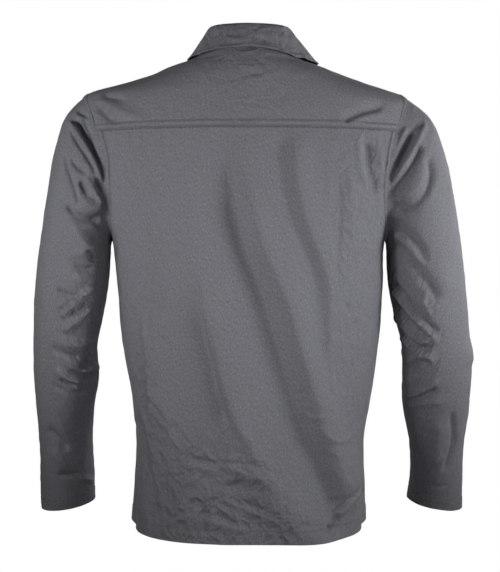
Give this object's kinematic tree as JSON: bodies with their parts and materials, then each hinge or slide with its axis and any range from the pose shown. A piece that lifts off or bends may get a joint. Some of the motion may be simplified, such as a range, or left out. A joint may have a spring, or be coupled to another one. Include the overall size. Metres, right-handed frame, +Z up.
{
  "type": "work jacket",
  "caption": "Long-sleeved twill work jacket with a turn-down collar, back yoke and buttoned front, hollow and filled out as when it is worn.",
  "frame": {"origin": "middle of the neck opening, level with the seam at the back of the neck, where the wearer's neck and shoulders hold the jacket", "axes": "+Z up to the top of the collar, +Y to the jacket's back, +X to the wearer's left"},
  "size_m": [0.6625, 0.2837, 0.751],
  "materials": {
    "twill": "matte grey cotton and polyester twill",
    "button": "satin grey plastic"
  },
  "bodies": {
    "root": {"back_panel": "twill", "back_yoke": "twill", "front_left": "twill", "front_right": "twill", "sleeve_left": "twill", "sleeve_right": "twill", "collar_stand": "twill", "collar_leaf": "twill", "button_1": "button", "button_2": "button", "button_3": "button", "button_4": "button", "button_5": "button", "button_6": "button"}
  },
  "joints": []
}
